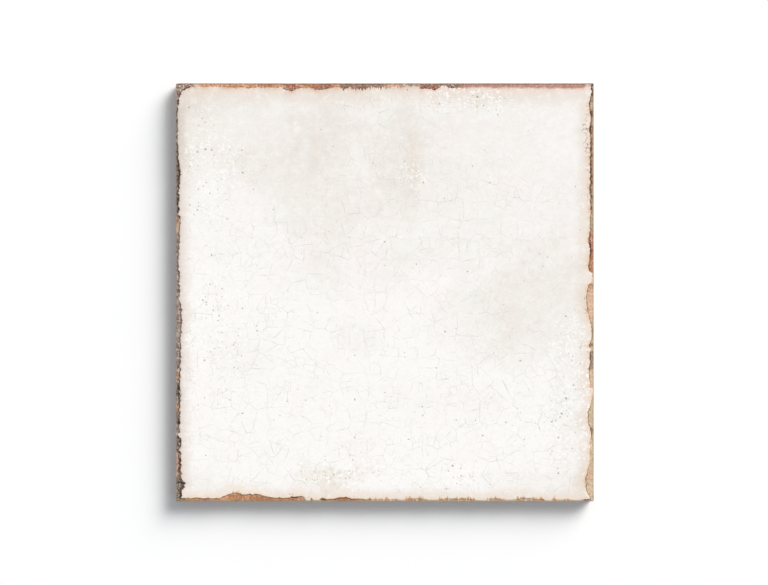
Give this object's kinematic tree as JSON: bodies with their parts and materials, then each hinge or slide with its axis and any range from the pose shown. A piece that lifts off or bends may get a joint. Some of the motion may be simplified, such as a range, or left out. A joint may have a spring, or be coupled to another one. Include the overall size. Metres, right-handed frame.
{
  "type": "ceramic wall tile",
  "caption": "Square pressed clay wall tile with a cushioned, chipped white crackle-glazed face, drafted sides and a shallow pocketed back that keys into adhesive.",
  "frame": {"origin": "centre of the bed plane, under the middle of the tile as it lies on its back", "axes": "+Z out of the glazed face, +X to the right and +Y to the top of the face as pictured"},
  "size_m": [0.2, 0.2, 0.0085],
  "materials": {
    "glazed_clay": "aged white crackle glaze, worn to bare orange-brown clay along the edges"
  },
  "bodies": {
    "root": {"wall_tile": "glazed_clay"}
  },
  "joints": []
}
